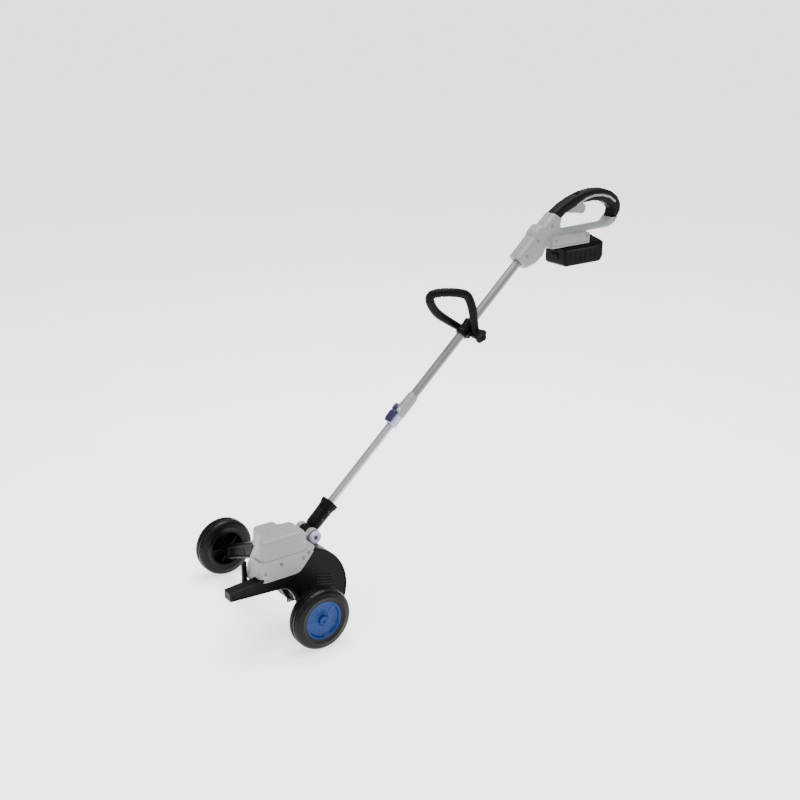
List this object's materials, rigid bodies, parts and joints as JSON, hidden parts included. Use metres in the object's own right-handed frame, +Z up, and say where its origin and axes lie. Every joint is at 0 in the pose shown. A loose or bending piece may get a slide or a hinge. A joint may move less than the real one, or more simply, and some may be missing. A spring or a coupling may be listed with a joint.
{
  "type": "lawn edger",
  "caption": "Battery stick lawn edger: two wheels, half-round blade guard, side motor housing, folding telescopic shaft, front loop grip and arched rear handle over a slide-on battery.",
  "frame": {"origin": "on the ground under the middle of the tool's footprint", "axes": "+X the way it travels, +Y the tool's left (guard and blue-hubbed wheel), +Z up"},
  "size_m": [1.1388, 0.4584, 0.8746],
  "materials": {
    "grey_shell": "light grey moulded ABS, fine satin texture",
    "black_plastic": "black glass-filled nylon, fine texture",
    "tyre_rubber": "moulded black rubber tread",
    "blue_plastic": "mid-blue moulded plastic",
    "lilac_plastic": "pale lavender-blue moulded plastic",
    "navy_plastic": "dark navy plastic",
    "grip_rubber": "soft black overmould",
    "tube_aluminium": "drawn aluminium tube, satin",
    "steel": "zinc plated steel",
    "blade_steel": "hardened blade steel",
    "bronze": "sintered bronze bush",
    "battery_plastic": "black battery casing",
    "board_green": "circuit board",
    "dark_grey_plastic": "dark grey moulded nylon",
    "cell_wrap": "shrink-wrapped cells"
  },
  "bodies": {
    "head": {"guard_hood": "black_plastic", "debris_flap": "tyre_rubber", "drive_case": "black_plastic", "belt_cover": "black_plastic", "drive_belt": "tyre_rubber", "arbor_bearings": "steel", "motor_can": "steel", "controller_board": "board_green", "housing_left": "grey_shell", "housing_right": "grey_shell", "motor_cover": "grey_shell", "housing_screws": "steel", "far_wheel_arm": "black_plastic", "near_axle": "steel", "far_axle": "steel", "axle_clips": "steel", "pivot_yoke": "grey_shell", "pivot_pin": "steel"},
    "near_wheel": {"near_tyre": "tyre_rubber", "near_hub": "blue_plastic", "near_wheel_bush": "bronze", "near_hub_cap": "blue_plastic"},
    "far_wheel": {"far_tyre": "tyre_rubber", "far_hub": "black_plastic", "far_wheel_bush": "bronze", "far_hub_cap": "black_plastic"},
    "blade": {"arbor": "steel", "arbor_pulley": "dark_grey_plastic", "blade_flanges": "steel", "edger_blade": "blade_steel", "blade_nut": "steel"},
    "rotor": {"motor_rotor": "steel", "motor_pulley": "dark_grey_plastic", "cooling_fan": "dark_grey_plastic"},
    "pivot_button": {"pivot_button": "lilac_plastic"},
    "lower_shaft": {"pivot_socket": "black_plastic", "socket_screws": "steel", "lower_tube": "tube_aluminium"},
    "upper_shaft": {"upper_tube": "tube_aluminium", "lock_ring": "lilac_plastic", "lock_collar": "grey_shell", "cam_pin": "steel", "aux_clamp": "black_plastic", "aux_bolt": "steel", "handle_left": "grey_shell", "handle_right": "grey_shell", "grip_sleeve": "grip_rubber", "trigger_pin": "steel", "switch_module": "dark_grey_plastic", "lock_off_spring": "steel", "terminal_block": "dark_grey_plastic", "handle_screws": "steel"},
    "cam_lever": {"cam_lever": "navy_plastic"},
    "aux_loop": {"aux_loop": "black_plastic"},
    "aux_knob": {"aux_knob": "black_plastic"},
    "trigger": {"trigger": "grey_shell"},
    "lock_off_button": {"lock_off_button": "black_plastic"},
    "battery": {"battery_case": "battery_plastic", "battery_cells": "cell_wrap"},
    "battery_latch": {"battery_latch": "battery_plastic"}
  },
  "joints": [
    {"name": "near_wheel_spin", "type": "hinge", "parent": "head", "child": "near_wheel", "pos_m": [0.3894, 0.2105, 0.069], "axis": [0, 1, 0], "continuous": true},
    {"name": "far_wheel_spin", "type": "hinge", "parent": "head", "child": "far_wheel", "pos_m": [0.3894, -0.2105, 0.069], "axis": [0, 1, 0], "continuous": true},
    {"name": "blade_spin", "type": "hinge", "parent": "head", "child": "blade", "pos_m": [0.3834, 0.1, 0.084], "axis": [0, 1, 0], "continuous": true},
    {"name": "motor_spin", "type": "hinge", "parent": "head", "child": "rotor", "pos_m": [0.4344, 0.12, 0.226], "axis": [0, 1, 0], "continuous": true},
    {"name": "shaft_pivot", "type": "hinge", "parent": "head", "child": "lower_shaft", "pos_m": [0.3344, 0.08, 0.203], "axis": [0, 1, 0], "range_deg": [-20, 30]},
    {"name": "pivot_button_press", "type": "slide", "parent": "head", "child": "pivot_button", "axis": [0, -1, 0], "range_m": [0, 0.004], "stiffness_N_per_m": 900, "springref_m": -0.001},
    {"name": "shaft_telescope", "type": "slide", "parent": "lower_shaft", "child": "upper_shaft", "axis": [-0.7478, 0, 0.6639], "range_m": [-0.17, 0.04]},
    {"name": "cam_lever_swing", "type": "hinge", "parent": "upper_shaft", "child": "cam_lever", "pos_m": [0.09036, 0.08, 0.44174], "axis": [0, -1, 0], "range_deg": [0, 110]},
    {"name": "aux_loop_tilt", "type": "hinge", "parent": "upper_shaft", "child": "aux_loop", "pos_m": [-0.1146, 0.08, 0.58292], "axis": [0, 1, 0], "range_deg": [-25, 25]},
    {"name": "aux_knob_turn", "type": "hinge", "parent": "upper_shaft", "child": "aux_knob", "pos_m": [-0.1146, 0.12, 0.58292], "axis": [0, 1, 0], "range_deg": [0, 720]},
    {"name": "trigger_pull", "type": "hinge", "parent": "upper_shaft", "child": "trigger", "pos_m": [-0.39841, 0.08, 0.83257], "axis": [0, 1, 0], "range_deg": [0, 7], "stiffness_Nm_per_rad": 0.35, "springref_deg": -6.88},
    {"name": "lock_off_press", "type": "slide", "parent": "upper_shaft", "child": "lock_off_button", "axis": [0, 0, -1], "range_m": [0, 0.003], "stiffness_N_per_m": 500, "springref_m": -0.001, "deforming": ["lock_off_spring"]},
    {"name": "battery_slide", "type": "slide", "parent": "upper_shaft", "child": "battery", "axis": [-1, 0, 0], "range_m": [0, 0.1]},
    {"name": "battery_latch_press", "type": "slide", "parent": "battery", "child": "battery_latch", "axis": [-1, 0, 0], "range_m": [0, 0.003], "stiffness_N_per_m": 500, "springref_m": -0.001}
  ],
  "couplings": [
    {"joint": "motor_spin", "follows": "blade_spin", "ratio": 2.3462}
  ]
}
